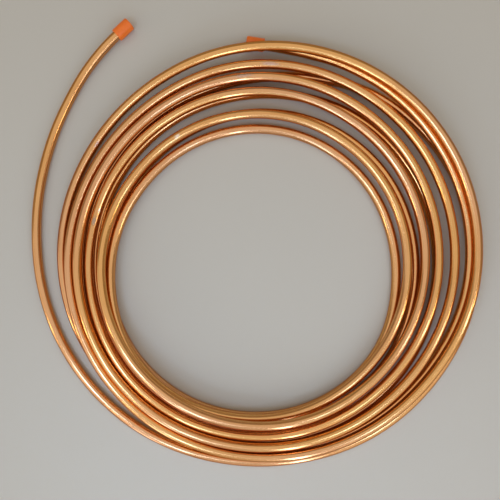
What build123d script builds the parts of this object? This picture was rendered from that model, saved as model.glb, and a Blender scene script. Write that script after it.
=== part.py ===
# A coil of soft copper tube with a push-on cap over each end.
# The origin is the centre of the coil on the floor. +X and +Y point to the side where the
# turns fan out and +Z is up. All sizes are millimetres.

from build123d import *
from math import cos, pi, radians, sin
import os

# The tube
tube_od = 12.7
tube_wall = 0.81
end_straight = 22.0

# The winding
eye_radius = 175.0
turn_gap = 0.3
layer_gap = 0.6

# The caps
cap_bore_gap = 0.1
cap_wall = 2.4
cap_floor = 2.4
cap_end_gap = 0.3
cap_mouth_round = 0.5

tube_radius = tube_od / 2
pitch = tube_od + turn_gap
layer = tube_od + layer_gap
cap_bore_radius = tube_radius + cap_bore_gap
cap_radius = cap_bore_radius + cap_wall
cap_lift = (cap_radius - tube_radius) / layer

# The winding is given by stations: a direction in degrees anticlockwise from +X, a reach
# and a level. The reach counts the pitches from the tightest place of the eye outwards,
# and the level counts the layers above the floor. The tail comes in over most of a turn.
tail_stations = [
    (122.7, 14.68, cap_lift),
    (131, 13.88, cap_lift / 2),
    (143, 12.6, 0.0),
    (160, 11.14, 0.0),
    (180, 9.95, 0.0),
    (225, 8.3, 0.0),
    (270, 7.35, 0.0),
    (315, 7.95, 0.0),
]

# Whole turns in their order along the tube, each with its stations 45 degrees apart. Three
# turns wind inwards on the floor, and the others wind outwards on top of them.
turn_angle = 45
turn_reaches = [
    [8.8, 8.0, 5.75, 5.1, 4.95, 5.2, 5.2, 4.95],
    [4.7, 4.6, 4.0, 3.85, 3.85, 4.1, 4.0, 3.2],
    [2.35, 2.1, 1.95, 2.05, 2.6, 2.85, 2.5, 1.75],
    [0.3, 0.0, 0.25, 0.85, 1.9, 2.9, 2.4, 1.65],
    [1.25, 1.25, 1.6, 2.05, 2.7, 2.9, 2.8, 2.8],
    [3.1, 3.45, 3.95, 4.05, 4.2, 4.5, 4.3, 4.15],
    [4.5, 5.0, 5.45, 5.2, 5.3, 5.45, 5.3, 5.6],
    [6.2, 6.65, 6.8, 6.25, 6.35, 6.4, 6.45, 7.1],
    [8.25, 8.75, 8.5, 7.75, 7.4, 6.45, 6.3, 6.85],
]
turn_levels = [
    [0.0, 0.0, 0.0, 0.0, 0.0, 0.0, 0.0, 0.0],
    [0.0, 0.0, 0.0, 0.0, 0.0, 0.0, 0.0, 0.0],
    [0.0, 0.0, 0.0, 0.0, 0.0, 0.0, 0.0, 0.0],
    [0.0, 0.0, 0.0, 0.3, 0.9, 1.0, 1.0, 1.0],
    [1.0, 1.0, 1.0, 1.0, 1.7, 2.1, 2.1, 1.5],
    [1.0, 1.0, 1.0, 1.0, 1.0, 1.0, 1.0, 1.0],
    [1.0, 1.0, 1.15, 1.35, 1.4, 1.35, 1.35, 1.0],
    [1.0, 1.0, 1.0, 1.0, 1.0, 1.0, 1.0, 1.0],
    [1.7, 1.93, 1.5, 0.7, 0.0, 0.0, 0.0, 0.0],
]

# The outer end drops to the floor again, inside and then under the turn before it.
end_stations = [
    (0, 7.85, 0.8),
    (45, 8.35, 1.0),
    (66, 8.53, 0.72),
    (79, 8.66, 0.35),
    (89.5, 9.1, cap_lift),
]


def list_stations():
    """All stations in their order along the tube, with directions that keep growing."""
    stations = list(tail_stations)
    for turn, (reaches, levels) in enumerate(zip(turn_reaches, turn_levels), start=1):
        for place, (reach, level) in enumerate(zip(reaches, levels)):
            stations.append((360 * turn + place * turn_angle, reach, level))
    turns = len(turn_reaches) + 1
    return stations + [(360 * turns + way, reach, level) for way, reach, level in end_stations]


def place_station(station):
    """A station as an angle in radians, a radius and a height."""
    direction, reach, level = station
    return (
        radians(direction),
        eye_radius + tube_radius + reach * pitch,
        tube_radius + level * layer,
    )


def to_point(place):
    angle, radius, height = place
    return Vector(radius * cos(angle), radius * sin(angle), height)


def find_way(before, here, after):
    """The way the tube runs at a station. It runs level beside a station as high as it."""
    angle, radius, height = here
    turned = after[0] - before[0]
    outward = (after[1] - before[1]) / turned
    upward = 0 if height in (before[2], after[2]) else (after[2] - before[2]) / turned
    along = Vector(outward * cos(angle) - radius * sin(angle),
                   outward * sin(angle) + radius * cos(angle), upward)
    return along.normalized()


def mirror_way(way, chord):
    """The way at the other end of an arc, laid level."""
    unit = chord.normalized()
    other = unit * (2 * unit.dot(way)) - way
    return Vector(other.X, other.Y, 0).normalized()


def find_arm(chord, start_way, end_way):
    """The length of tangent that lets two arcs join a start and an end smoothly."""
    spread = 2 * (1 - start_way.dot(end_way))
    lean = chord.dot(start_way + end_way)
    return (-lean + (lean**2 + spread * chord.dot(chord)) ** 0.5) / spread


places = [place_station(station) for station in list_stations()]
points = [to_point(place) for place in places]
ways = [find_way(*places[i - 1 : i + 2]) for i in range(1, len(places) - 1)]
ways.insert(0, mirror_way(ways[0], points[1] - points[0]))
ways.append(mirror_way(ways[-1], points[-1] - points[-2]))
tail_tip = points[0] - ways[0] * end_straight
end_tip = points[-1] + ways[-1] * end_straight

# The tube is one length of drawn copper, bent by two smoothly joined arcs from each
# station to the next and straight in its caps.
with BuildLine() as run:
    Line(tail_tip, points[0])
    for start, end, start_way, end_way in zip(points, points[1:], ways, ways[1:]):
        arm = find_arm(end - start, start_way, end_way)
        start_knee = start + start_way * arm
        end_knee = end - end_way * arm
        middle = (start_knee + end_knee) / 2
        TangentArc(start, middle, tangent=start_way)
        TangentArc(middle, end, tangent=end_knee - start_knee)
    Line(points[-1], end_tip)

with BuildPart() as copper_tube:
    with BuildSketch(Plane(origin=tail_tip, z_dir=ways[0])):
        Circle(tube_radius)
    sweep(path=run.wires()[0])
    cut_ends = copper_tube.faces().filter_by(GeomType.PLANE)
    offset(amount=-tube_wall, openings=cut_ends)


def push_on_cap(tip, outward):
    """A soft plastic cap that the end of the tube stands in, almost to the cap's floor."""
    floor_inside = end_straight + cap_end_gap
    floor_outside = floor_inside + cap_floor
    mouth = tip - outward * end_straight
    with BuildPart() as cap:
        with BuildSketch(Plane(origin=mouth, x_dir=outward, z_dir=(0, 0, 1))) as half:
            with BuildLine():
                Polyline(
                    (0, cap_bore_radius),
                    (0, cap_radius),
                    (floor_outside, cap_radius),
                    (floor_outside, 0),
                    (floor_inside, 0),
                    (floor_inside, cap_bore_radius),
                    close=True,
                )
            make_face()
            outer_corners = half.vertices().group_by(Axis.Y)[-1]
            fillet(outer_corners.sort_by(Axis.X)[0], cap_mouth_round)
        revolve(axis=Axis(mouth, outward))
    return cap


tail_cap = push_on_cap(tail_tip, ways[0] * -1)
end_cap = push_on_cap(end_tip, ways[-1])

os.makedirs("parts", exist_ok=True)
for piece, name in [(copper_tube, "copper_tube"), (tail_cap, "tail_cap"), (end_cap, "end_cap")]:
    piece.part.label = name
    export_step(piece.part, f"parts/{name}.step")

section_area = pi * (tube_od - tube_wall) * tube_wall
length = run.wires()[0].length
print(f"tube length {length:.0f}, volume {copper_tube.part.volume:.0f}")
print(f"section times length {section_area * length:.0f}")
bends = [edge.radius for edge in run.edges() if edge.geom_type == GeomType.CIRCLE]
print(f"bend radii {min(bends):.0f} to {max(bends):.0f}")
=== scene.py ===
from math import atan2, copysign, cos, pi, radians, sin, tan

import bmesh
import bpy
from mathutils import Matrix, Vector


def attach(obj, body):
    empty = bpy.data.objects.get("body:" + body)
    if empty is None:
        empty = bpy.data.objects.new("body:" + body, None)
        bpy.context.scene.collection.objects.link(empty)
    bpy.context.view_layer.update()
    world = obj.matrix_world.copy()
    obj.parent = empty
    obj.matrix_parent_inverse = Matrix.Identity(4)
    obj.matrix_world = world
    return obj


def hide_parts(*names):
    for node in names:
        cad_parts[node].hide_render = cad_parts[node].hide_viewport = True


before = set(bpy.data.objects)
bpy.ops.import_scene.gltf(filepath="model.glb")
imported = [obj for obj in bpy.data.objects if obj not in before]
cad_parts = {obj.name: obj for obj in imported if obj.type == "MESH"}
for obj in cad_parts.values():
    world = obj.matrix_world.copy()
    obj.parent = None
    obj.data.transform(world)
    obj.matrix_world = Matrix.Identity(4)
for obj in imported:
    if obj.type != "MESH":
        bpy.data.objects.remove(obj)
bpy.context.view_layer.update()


# The camera. It looks straight down on the coil from 0.7 m above the floor, and its picture
# spans 53 degrees from side to side.

camera_place = (-0.0168, 0.0168, 0.700)
camera_view = 53.13
nearest_seen = 0.01

camera_data = bpy.data.cameras.new("camera")
camera_data.sensor_fit = "HORIZONTAL"
camera_data.angle = radians(camera_view)
camera_data.clip_start = nearest_seen
camera = bpy.data.objects.new("camera", camera_data)
camera.location = camera_place
bpy.context.scene.collection.objects.link(camera)
bpy.context.scene.camera = camera
bpy.context.scene.view_settings.view_transform = "Standard"


# The copper tube. One length of soft drawn tube, wound into a loose coil of about ten
# turns, and cut square at its ends.

tube_radius = 0.00635
tube_wall = 0.00081
bore_radius = tube_radius - tube_wall
end_straight = 0.022
eye_radius = 0.175
turn_gap = 0.0003
layer_gap = 0.0006
pitch = 2 * tube_radius + turn_gap
layer = 2 * tube_radius + layer_gap

# The caps lie on the floor, and their walls lift the tube's ends a little.
cap_bore_gap = 0.0001
cap_wall = 0.0024
cap_bore_radius = tube_radius + cap_bore_gap
cap_radius = cap_bore_radius + cap_wall
cap_lift = (cap_radius - tube_radius) / layer

# Each station has a direction in degrees, a reach in pitches outside the eye and a level
# in layers above the floor. The tail comes in over most of a turn.
tail_stations = [
    (122.7, 14.68, cap_lift),
    (131, 13.88, cap_lift / 2),
    (143, 12.6, 0.0),
    (160, 11.14, 0.0),
    (180, 9.95, 0.0),
    (225, 8.3, 0.0),
    (270, 7.35, 0.0),
    (315, 7.95, 0.0),
]

# Whole turns with evenly spaced stations: three wind inwards on the floor and the others
# wind outwards on top of them.
turn_angle = 45
turn_reaches = [
    [8.8, 8.0, 5.75, 5.1, 4.95, 5.2, 5.2, 4.95],
    [4.7, 4.6, 4.0, 3.85, 3.85, 4.1, 4.0, 3.2],
    [2.35, 2.1, 1.95, 2.05, 2.6, 2.85, 2.5, 1.75],
    [0.3, 0.0, 0.25, 0.85, 1.9, 2.9, 2.4, 1.65],
    [1.25, 1.25, 1.6, 2.05, 2.7, 2.9, 2.8, 2.8],
    [3.1, 3.45, 3.95, 4.05, 4.2, 4.5, 4.3, 4.15],
    [4.5, 5.0, 5.45, 5.2, 5.3, 5.45, 5.3, 5.6],
    [6.2, 6.65, 6.8, 6.25, 6.35, 6.4, 6.45, 7.1],
    [8.25, 8.75, 8.5, 7.75, 7.4, 6.45, 6.3, 6.85],
]
turn_levels = [
    [0.0, 0.0, 0.0, 0.0, 0.0, 0.0, 0.0, 0.0],
    [0.0, 0.0, 0.0, 0.0, 0.0, 0.0, 0.0, 0.0],
    [0.0, 0.0, 0.0, 0.0, 0.0, 0.0, 0.0, 0.0],
    [0.0, 0.0, 0.0, 0.3, 0.9, 1.0, 1.0, 1.0],
    [1.0, 1.0, 1.0, 1.0, 1.7, 2.1, 2.1, 1.5],
    [1.0, 1.0, 1.0, 1.0, 1.0, 1.0, 1.0, 1.0],
    [1.0, 1.0, 1.15, 1.35, 1.4, 1.35, 1.35, 1.0],
    [1.0, 1.0, 1.0, 1.0, 1.0, 1.0, 1.0, 1.0],
    [1.7, 1.93, 1.5, 0.7, 0.0, 0.0, 0.0, 0.0],
]

# The outer end drops to the floor again, inside and then under the turn before it.
end_stations = [
    (0, 7.85, 0.8),
    (45, 8.35, 1.0),
    (66, 8.53, 0.72),
    (79, 8.66, 0.35),
    (89.5, 9.1, cap_lift),
]

turns = [tail_stations]
for reaches, levels in zip(turn_reaches, turn_levels):
    turns.append(zip(range(0, 360, turn_angle), reaches, levels))
turns.append(end_stations)

# A place is an angle in radians, a radius and a height.
places = []
for number, stations in enumerate(turns):
    for direction, reach, level in stations:
        angle = radians(360 * number + direction)
        radius = eye_radius + tube_radius + reach * pitch
        height = tube_radius + level * layer
        places.append((angle, radius, height))
points = [
    Vector((radius * cos(angle), radius * sin(angle), height)) for angle, radius, height in places
]


def find_way(before, here, after):
    """The way the tube runs at a station. It runs level beside a station as high as it."""
    angle, radius, height = here
    turned = after[0] - before[0]
    outward = (after[1] - before[1]) / turned
    upward = 0 if height in (before[2], after[2]) else (after[2] - before[2]) / turned
    return Vector((
        outward * cos(angle) - radius * sin(angle),
        outward * sin(angle) + radius * cos(angle),
        upward,
    )).normalized()


def mirror_way(way, chord):
    """The way at the other end of an arc, laid level."""
    other = way.reflect(chord.normalized()) * -1
    return Vector((other.x, other.y, 0)).normalized()


def find_arm(chord, start_way, end_way):
    """The length of tangent that lets two arcs join a start and an end smoothly."""
    spread = 2 * (1 - start_way.dot(end_way))
    lean = chord.dot(start_way + end_way)
    return (-lean + (lean**2 + spread * chord.dot(chord)) ** 0.5) / spread


ways = [find_way(*places[k - 1 : k + 2]) for k in range(1, len(places) - 1)]
ways.insert(0, mirror_way(ways[0], points[1] - points[0]))
ways.append(mirror_way(ways[-1], points[-1] - points[-2]))
tail_outward = -ways[0]
end_outward = ways[-1]
tail_tip = points[0] + tail_outward * end_straight
end_tip = points[-1] + end_outward * end_straight

# The winding is a curve with two smoothly joined arcs from each station to the next. Each
# of its knots has a place, a way and the length of its handle towards the next knot.
knots = [(tail_tip, ways[0], end_straight / 3)]
for start, end, start_way, end_way in zip(points, points[1:], ways, ways[1:]):
    arm = find_arm(end - start, start_way, end_way)
    start_knee = start + start_way * arm
    end_knee = end - end_way * arm
    middle = (start_knee + end_knee) / 2
    middle_way = (end_knee - start_knee).normalized()
    for knot, way, next_way in ((start, start_way, middle_way), (middle, middle_way, end_way)):
        bend = way.angle(next_way)
        knots.append((knot, way, arm * 4 / 3 * tan(bend / 4) / tan(bend / 2)))
knots.append((points[-1], ways[-1], end_straight / 3))
knots.append((end_tip, ways[-1], end_straight / 3))

# The tube is the round bevel of that curve.
section_sides = 24
cuts_per_arc = 10

winding = bpy.data.curves.new("winding", "CURVE")
winding.dimensions = "3D"
winding.resolution_u = cuts_per_arc
winding.bevel_depth = tube_radius
winding.bevel_resolution = section_sides // 2 - 2
winding.use_fill_caps = False
spline = winding.splines.new("BEZIER")
spline.bezier_points.add(len(knots) - 1)
handle_before = knots[0][2]
for point, (knot, way, handle) in zip(spline.bezier_points, knots):
    point.handle_left_type = "FREE"
    point.handle_right_type = "FREE"
    point.co = knot
    point.handle_left = knot - way * handle_before
    point.handle_right = knot + way * handle
    handle_before = handle
winding_object = bpy.data.objects.new("winding", winding)
bpy.context.scene.collection.objects.link(winding_object)
depsgraph = bpy.context.evaluated_depsgraph_get()
tube_mesh = bpy.data.meshes.new_from_object(winding_object.evaluated_get(depsgraph))
bpy.data.objects.remove(winding_object)

# A place on the wall is known by its distance along the tube and by how far it is outwards
# and above the tube's middle. The copper's marks and its laid-out surface follow that.
corners = [vert.co for vert in tube_mesh.vertices]
rings = [corners[k : k + section_sides] for k in range(0, len(corners), section_sides)]
centres = [sum(ring, Vector()) / section_sides for ring in rings]
runs = [0.0]
for centre, next_centre in zip(centres, centres[1:]):
    runs.append(runs[-1] + (next_centre - centre).length)
tube_length = runs[-1]


def find_outwards(from_middle, centre):
    """How far outwards a spot is from the tube's middle, away from the coil's eye."""
    return copysign(from_middle.xy.length, from_middle.xy.dot(centre.xy))


on_tube = tube_mesh.attributes.new("on_tube", "FLOAT_VECTOR", "POINT")
for number, corner in enumerate(corners):
    centre = centres[number // section_sides]
    run = runs[number // section_sides]
    from_middle = corner - centre
    on_tube.data[number].vector = (run, find_outwards(from_middle, centre), from_middle.z)
wall_faces = len(tube_mesh.polygons)

# Both ends are cut square, and the bore is open a little further in than the caps reach.
bore_depth = 0.030

tube_bm = bmesh.new()
tube_bm.from_mesh(tube_mesh)
for tip, outward in ((tail_tip, tail_outward), (end_tip, end_outward)):
    rim = [
        edge for edge in tube_bm.edges
        if edge.is_boundary and (edge.verts[0].co - tip).length < 2 * tube_radius
    ]
    for shrink, sink in ((bore_radius / tube_radius, 0.0), (1.0, bore_depth)):
        made = bmesh.ops.extrude_edge_only(tube_bm, edges=rim)["geom"]
        rim = [part for part in made if isinstance(part, bmesh.types.BMEdge) and part.is_boundary]
        ring = [part for part in made if isinstance(part, bmesh.types.BMVert)]
        bmesh.ops.scale(
            tube_bm, verts=ring, vec=(shrink, shrink, shrink), space=Matrix.Translation(-tip),
        )
        bmesh.ops.translate(tube_bm, verts=ring, vec=outward * -sink)
    bmesh.ops.contextual_create(tube_bm, geom=rim)
bmesh.ops.recalc_face_normals(tube_bm, faces=tube_bm.faces)
tube_bm.to_mesh(tube_mesh)
tube_bm.free()

# The surface is laid out in strips side by side, each a stretch of the tube cut open along
# its underside. A strip leaves a margin at its sides and its ends.
wall_strips = 16
strip_length = tube_length / wall_strips
side_margin = 0.03
side_fill = 0.90
end_margin = 0.004

# The two cut ends and their bores share one more strip. Each is laid out by its depth and
# by how far it is inside the tube's outer wall, in shares of the strip to the metre, and a
# bore's floor is a small disc.
tail_end_left = 0.1
outer_end_left = 0.5
depth_scale = 3
inside_scale = 20
disc_from_left = 0.2
disc_reach_along = 0.012
disc_reach_across = 0.2


def lay_out_wall(spots, strip):
    """How far along its strip each corner of a wall's face lies."""
    shares = [spot.x / strip_length - strip for spot in spots]
    return [end_margin + (1 - 2 * end_margin) * share for share in shares]


def lay_out_end(corners, left, tip, outward):
    """How far along the last strip each corner of an end's face lies."""
    from_tip = [corner - tip for corner in corners]
    depths = [-place.dot(outward) for place in from_tip]
    insides = [
        tube_radius - (place + outward * depth).length for place, depth in zip(from_tip, depths)
    ]
    return [
        left + depth_scale * depth + inside_scale * inside
        for depth, inside in zip(depths, insides)
    ]


tube_mesh.uv_layers.active.name = "OFBake"
layout = tube_mesh.uv_layers["OFBake"]
on_tube = tube_mesh.attributes["on_tube"]
for polygon in tube_mesh.polygons:
    polygon.use_smooth = polygon.index < wall_faces
    spots = [on_tube.data[k].vector for k in polygon.vertices]
    around = [atan2(spot.y, spot.z) / (2 * pi) + 0.5 for spot in spots]
    if max(around) - min(around) > 0.5:
        around = [share + 1 if share < 0.5 else share for share in around]
    if polygon.index < wall_faces:
        middle_run = sum(spot.x for spot in spots) / len(spots)
        strip = min(int(middle_run / strip_length), wall_strips - 1)
        along = lay_out_wall(spots, strip)
    else:
        strip = wall_strips
        at_tail = spots[0].x < strip_length
        left = tail_end_left if at_tail else outer_end_left
        if len(spots) > 4:
            turned = [2 * pi * share for share in around]
            along = [left + disc_from_left + disc_reach_along * sin(angle) for angle in turned]
            around = [0.5 + disc_reach_across * cos(angle) for angle in turned]
        else:
            tip, outward = (tail_tip, tail_outward) if at_tail else (end_tip, end_outward)
            end_corners = [tube_mesh.vertices[k].co for k in polygon.vertices]
            along = lay_out_end(end_corners, left, tip, outward)
    for loop, run_share, side_share in zip(polygon.loop_indices, along, around):
        side = strip + side_margin + side_fill * side_share
        layout.data[loop].uv = (run_share, side / (wall_strips + 1))

coiled_tube = bpy.data.objects.new("coiled_tube", tube_mesh)
bpy.context.scene.collection.objects.link(coiled_tube)
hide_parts("copper_tube")
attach(coiled_tube, "root")


class Wire:
    """An output of a finish's node. Sums on wires add the Math nodes for them."""

    def __init__(self, finish, socket):
        self.finish = finish
        self.socket = socket

    def reckon(self, operation, *terms):
        """The result of a Math node on wires and numbers."""
        return self.finish.node("ShaderNodeMath", {"operation": operation}, dict(enumerate(terms)))

    def __add__(self, other):
        return self.reckon("ADD", self, other)

    def __radd__(self, other):
        return self.reckon("ADD", other, self)

    def __sub__(self, other):
        return self.reckon("SUBTRACT", self, other)

    def __rsub__(self, other):
        return self.reckon("SUBTRACT", other, self)

    def __mul__(self, other):
        return self.reckon("MULTIPLY", self, other)

    def __rmul__(self, other):
        return self.reckon("MULTIPLY", other, self)

    def kept_within(self, low, high):
        return self.reckon("MINIMUM", self.reckon("MAXIMUM", self, low), high)


class Finish:
    """A material that is built node by node on its Principled shader."""

    def __init__(self, name):
        self.material = bpy.data.materials.new(name)
        self.material.use_nodes = True
        self.tree = self.material.node_tree
        self.shader = self.tree.nodes["Principled BSDF"]

    def node(self, kind, settings, links, output=0):
        """A new node with its settings, and its sockets linked to wires or set to values."""
        made = self.tree.nodes.new(kind)
        for setting, value in settings.items():
            setattr(made, setting, value)
        self.plug(made, links)
        return Wire(self, made.outputs[output])

    def plug(self, made, links):
        """Links a node's sockets to wires, or sets them to values."""
        for name, value in links.items():
            if isinstance(value, Wire):
                self.tree.links.new(value.socket, made.inputs[name])
            else:
                made.inputs[name].default_value = value

    def noise(self, place, lumps, detail=2.0, rough=0.5):
        """Soft noise with about so many lumps to the metre along each of the place's axes."""
        stretched = self.node("ShaderNodeMapping", {}, {"Vector": place, "Scale": lumps})
        return self.node("ShaderNodeTexNoise", {}, {
            "Vector": stretched, "Scale": 1.0, "Detail": detail, "Roughness": rough,
        })

    def bump(self, height, strength, depth, **more):
        """A bent normal. Its depth is how far the height reaches in metres."""
        return self.node("ShaderNodeBump", {}, {
            "Height": height, "Strength": strength, "Distance": depth, **more,
        })

    def blend(self, share, colour_a, colour_b, way="MIX"):
        """A mix of two colours. Its sockets go by number, because several share a name."""
        return self.node(
            "ShaderNodeMix", {"data_type": "RGBA", "blend_type": way},
            {0: share, 6: colour_a, 7: colour_b}, output=2,
        )


# Bright drawn copper. Its hue drifts between golden and pink along the tube, and it has a
# faint uneven tarnish, lengthwise draw lines, shallow dents and a few rubbed places, two
# of them with a painted glint.
golden = (0.775, 0.402, 0.130, 1)
pinkish = (0.745, 0.388, 0.172, 1)
tarnished = (0.90, 0.85, 0.78, 1)
edge_tint = (0.80, 0.20, 0.03, 1)
rubbed_grey = (0.60, 0.385, 0.27, 1)
rubbed_brown = (0.38, 0.26, 0.17, 1)
# A paler copper, painted as a glint where a dent on a rubbed place catches the light.
rubbed_and_painted_glint = (0.95, 0.80, 0.60, 1)
dent_depth = 0.0004
draw_line_depth = 0.0001
draw_line_strength = 0.02
noise_middle = 0.5

copper = Finish("bright_copper")
on_wall = copper.node("ShaderNodeAttribute", {"attribute_name": "on_tube"}, {}, output="Vector")
draw_lines = copper.noise(on_wall, (8, 260, 260), detail=3.0, rough=0.6)
streaks = copper.noise(on_wall, (9, 110, 110))
patches = copper.noise(on_wall, (14, 60, 60), detail=3.0, rough=0.6)
drift = copper.noise(on_wall, (2.2, 30, 30), detail=1.0)
dents = copper.noise(on_wall, (26, 70, 70), detail=1.0)
grain = copper.noise(on_wall, (300, 900, 900))
dented = copper.bump(dents, 1.0, dent_depth)

# The tarnish and the pinkness are shares from 0 to 1. A larger contrast gives them harder
# borders.
least_patch = 0.45
patch_contrast = 3
streak_contrast = 1.2
drift_contrast = 4

tarnish_patches = (patches - least_patch) * patch_contrast
tarnish_streaks = (streaks - noise_middle) * streak_contrast
tarnish = (tarnish_patches + tarnish_streaks).kept_within(0, 1)
pinkness = ((drift - noise_middle) * drift_contrast + 0.5).kept_within(0, 1)
copper_colour = copper.blend(pinkness, golden, pinkish)
copper_colour = copper.blend(tarnish, copper_colour, tarnished, "MULTIPLY")

# Each rubbed place is given by the pixel of the camera's picture that shows its middle,
# across and down, by about how far it reaches from there along and across the tube in
# metres, and by its colour. Its ragged border fades out a little further on. The two pale
# ones also carry a painted glint, a paler copper where a dent catches the light.
picture_pixels = 500
rubbed_places_and_glints = [
    (243.3, 75.1, 0.014, 0.0028, rubbed_grey),
    (93.8, 220.8, 0.007, 0.0022, rubbed_brown),
    (99.9, 210.4, 0.003, 0.0018, rubbed_and_painted_glint),
    (177.1, 136.1, 0.004, 0.0020, rubbed_and_painted_glint),
    (270.2, 63.5, 0.012, 0.0024, rubbed_grey),
    (97.0, 143.9, 0.005, 0.0020, rubbed_grey),
]
faded_out = 1.3
raggedness = 1.2
most_rubbed = 0.85


def find_on_wall(across, down):
    """The place on the tube's wall that shows at a pixel, in the measures of on_tube."""
    half = picture_pixels / 2
    sight = Vector((across - half, half - down, -half / tan(radians(camera_view) / 2)))
    spot = coiled_tube.ray_cast(camera_place, sight.normalized())[1]
    nearest = min(range(len(centres) - 1), key=lambda number: (centres[number] - spot).length)
    centre = centres[nearest]
    way = (centres[nearest + 1] - centre).normalized()
    past_centre = (spot - centre).dot(way)
    from_middle = spot - centre - way * past_centre
    return (runs[nearest] + past_centre, find_outwards(from_middle, centre), from_middle.z)


bpy.context.view_layer.update()
rubbed = 0
for across, down, reach_along, reach_across, rub_and_glint_colour in rubbed_places_and_glints:
    scale = (1 / reach_along, 1 / reach_across, 1 / reach_across)
    shift = [-place * share for place, share in zip(find_on_wall(across, down), scale)]
    from_place = copper.node("ShaderNodeMapping", {}, {
        "Vector": on_wall, "Location": shift, "Scale": scale,
    })
    distance = copper.node(
        "ShaderNodeVectorMath", {"operation": "LENGTH"}, {0: from_place}, output=1,
    )
    border = (grain - noise_middle) * raggedness
    mark = (faded_out - distance + border).kept_within(0, most_rubbed)
    # Each place's colour is laid on here, and for the pale ones it is a painted glint.
    copper_colour = copper.blend(mark, copper_colour, rub_and_glint_colour)
    rubbed = mark + rubbed

clean_roughness = 0.15
tarnish_adds = 0.06
draw_lines_add = 0.04
rubbing_adds = 0.15
copper_roughness = clean_roughness + tarnish * tarnish_adds
copper_roughness = copper_roughness + draw_lines * draw_lines_add + rubbed * rubbing_adds
copper.plug(copper.shader, {
    "Base Color": copper_colour,
    "Metallic": 1.0,
    "Specular Tint": edge_tint,
    "Roughness": copper_roughness.kept_within(0, 1),
    "Normal": copper.bump(draw_lines, draw_line_strength, draw_line_depth, Normal=dented),
})
tube_mesh.materials.clear()
tube_mesh.materials.append(copper.material)


# The caps. A soft moulded plastic cap is pushed over each cut end of the tube, and the
# tube stands in it almost to its floor.

cap_end_gap = 0.0003
cap_floor = 0.0024
cap_inside = end_straight + cap_end_gap
cap_outside = cap_inside + cap_floor
cap_tip_round = 0.0015
cap_mouth_round = 0.0005
cap_sides = 64
steps_per_round = 6
sharp_corner = 40
same_place = 1e-6

light_orange = (0.84, 0.17, 0.014, 1)
deep_orange = (0.74, 0.13, 0.009, 1)
least_mottle = 0.35
least_roughness = 0.34
mottle_adds = 0.12
cap_reflection = 0.35
skin_depth = 0.0002
skin_strength = 0.3

cap_plastic = Finish("orange_cap_plastic")
on_cap = cap_plastic.node("ShaderNodeTexCoord", {}, {}, output="Object")
mottle = cap_plastic.noise(on_cap, (180, 180, 180), detail=3.0)
skin = cap_plastic.noise(on_cap, (1400, 1400, 1400))
depth_of_orange = (mottle - least_mottle).kept_within(0, 1)
cap_plastic.plug(cap_plastic.shader, {
    "Base Color": cap_plastic.blend(depth_of_orange, light_orange, deep_orange),
    "Roughness": least_roughness + mottle * mottle_adds,
    "Specular IOR Level": cap_reflection,
    "Normal": cap_plastic.bump(skin, skin_strength, skin_depth),
})


def on_outer_corner(vert, height):
    """Whether a point of a cap lies on the outer corner at that height."""
    near_wall = abs(vert.co.xy.length - cap_radius) < same_place
    return near_wall and abs(vert.co.z - height) < same_place


def push_on_cap(name, node, tip, outward):
    """A cap, spun from its outline, which runs from the bore's floor round its mouth and
    wall to its tip."""
    cap_bm = bmesh.new()
    outline = [
        (0, cap_inside), (cap_bore_radius, cap_inside), (cap_bore_radius, 0),
        (cap_radius, 0), (cap_radius, cap_outside), (0, cap_outside),
    ]
    verts = [cap_bm.verts.new((radius, 0, height)) for radius, height in outline]
    edges = [cap_bm.edges.new(pair) for pair in zip(verts, verts[1:])]
    bmesh.ops.spin(
        cap_bm, geom=verts + edges, cent=(0, 0, 0), axis=(0, 0, 1), dvec=(0, 0, 0),
        angle=2 * pi, steps=cap_sides, use_merge=True, use_normal_flip=False,
        use_duplicate=False,
    )
    bmesh.ops.remove_doubles(cap_bm, verts=cap_bm.verts, dist=same_place)
    for height, size in ((0, cap_mouth_round), (cap_outside, cap_tip_round)):
        corner = [
            edge for edge in cap_bm.edges
            if all(on_outer_corner(vert, height) for vert in edge.verts)
        ]
        bmesh.ops.bevel(
            cap_bm, geom=corner, offset=size, offset_type="OFFSET", affect="EDGES",
            segments=steps_per_round, profile=0.5, material=-1,
        )
    bmesh.ops.recalc_face_normals(cap_bm, faces=cap_bm.faces)
    mouth = tip - outward * end_straight
    lean = outward.to_track_quat("Z", "Y").to_matrix().to_4x4()
    bmesh.ops.transform(cap_bm, verts=cap_bm.verts, matrix=Matrix.Translation(mouth) @ lean)
    cap_mesh = bpy.data.meshes.new(name)
    cap_bm.to_mesh(cap_mesh)
    cap_bm.free()
    cap_mesh.shade_smooth()
    cap_mesh.set_sharp_from_angle(angle=radians(sharp_corner))
    cap_mesh.materials.append(cap_plastic.material)
    cap = bpy.data.objects.new(name, cap_mesh)
    bpy.context.scene.collection.objects.link(cap)
    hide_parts(node)
    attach(cap, "root")


push_on_cap("cap_on_tail", "tail_cap", tail_tip, tail_outward)
push_on_cap("cap_on_outer_end", "end_cap", end_tip, end_outward)


# The floor and the light. A plain pale floor lies under a soft ceiling panel. Wide dim panels
# and narrow bright lamps stand along the side that the camera's lower edge points to.

floor_size = 12
floor_colour = (0.50, 0.455, 0.350, 1)
floor_roughness = 0.85
room_colour = (0.34, 0.30, 0.24, 1)

bpy.ops.mesh.primitive_plane_add(size=floor_size)
floor = bpy.context.object
floor.name = "floor"
floor_finish = Finish("pale_floor")
floor_finish.plug(floor_finish.shader, {
    "Base Color": floor_colour, "Roughness": floor_roughness,
})
floor.data.materials.append(floor_finish.material)

world = bpy.data.worlds.new("room")
bpy.context.scene.world = world
world.use_nodes = True
world.node_tree.nodes["Background"].inputs["Color"].default_value = room_colour


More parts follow.
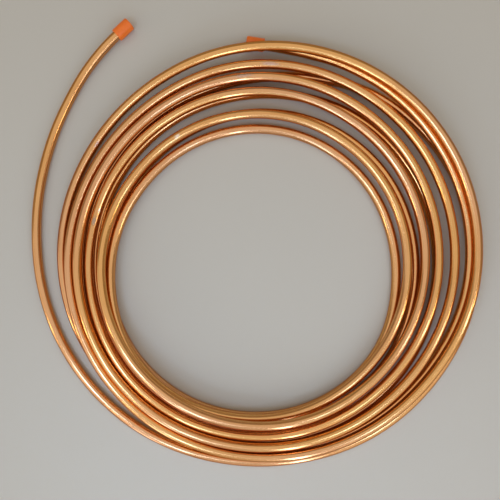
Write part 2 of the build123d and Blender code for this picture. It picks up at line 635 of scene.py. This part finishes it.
def add_panel(name, direction, tilt, distance, wide, tall, glow, light_colour):
    """A soft panel that faces the coil from a distance in metres. Its width and height are the
    angles that it spans, and its glow is the strength at which it is seen."""
    light = bpy.data.lights.new(name, "AREA")
    light.shape = "RECTANGLE"
    light.size = 2 * distance * tan(radians(wide) / 2)
    light.size_y = 2 * distance * tan(radians(tall) / 2)
    light.energy = pi * light.size * light.size_y * glow
    light.color = light_colour
    panel = bpy.data.objects.new(name, light)
    way = Matrix.Rotation(radians(direction + 90), 3, "Z") @ Matrix.Rotation(radians(tilt), 3, "X")
    panel.location = way @ Vector((0, 0, distance))
    panel.rotation_euler = way.to_euler()
    panel.visible_camera = False
    bpy.context.scene.collection.objects.link(panel)


ceiling_light = (1.0, 1.05, 1.28)
side_light = (0.90, 1.0, 1.28)
window_light = (0.44, 0.71, 1.25)
lamp_light = (0.66, 0.82, 1.25)
warm_light = (1.0, 0.84, 0.64)

# Each panel has a direction and a tilt from straight above in degrees, a distance in metres,
# the width and height that it spans in degrees, a glow and a colour.
ceiling_panel = (0, 0, 8, 84, 84, 0.48, ceiling_light)
wide_panels = [
    (198, 66, 8, 38, 46, 0.52, side_light),
    (234, 66, 8, 38, 46, 0.52, side_light),
    (276, 66, 8, 38, 46, 0.40, side_light),
    (314, 66, 8, 38, 46, 0.46, side_light),
]
lamps = [
    (219, 28, 1.1, 6, 16, 13, window_light),
    (305, 29, 1.1, 3, 16, 11, window_light),
    (256, 27, 1.2, 7, 8, 3, window_light),
    (247, 50, 0.6, 8, 7, 12, window_light),
    (281, 62, 1.2, 5, 34, 8, lamp_light),
    (240, 74, 8, 8, 18, 4, lamp_light),
    (336, 46, 1.1, 2.6, 28, 9, lamp_light),
    (202, 74, 8, 4, 10, 12, warm_light),
    (229, 50, 1.5, 2, 10, 8, warm_light),
    (342, 62, 8, 3, 12, 10, warm_light),
]
add_panel("ceiling_panel", *ceiling_panel)
for direction, *rest in wide_panels:
    add_panel(f"wide_panel_{direction}", direction, *rest)
for direction, *rest in lamps:
    add_panel(f"lamp_{direction}", direction, *rest)
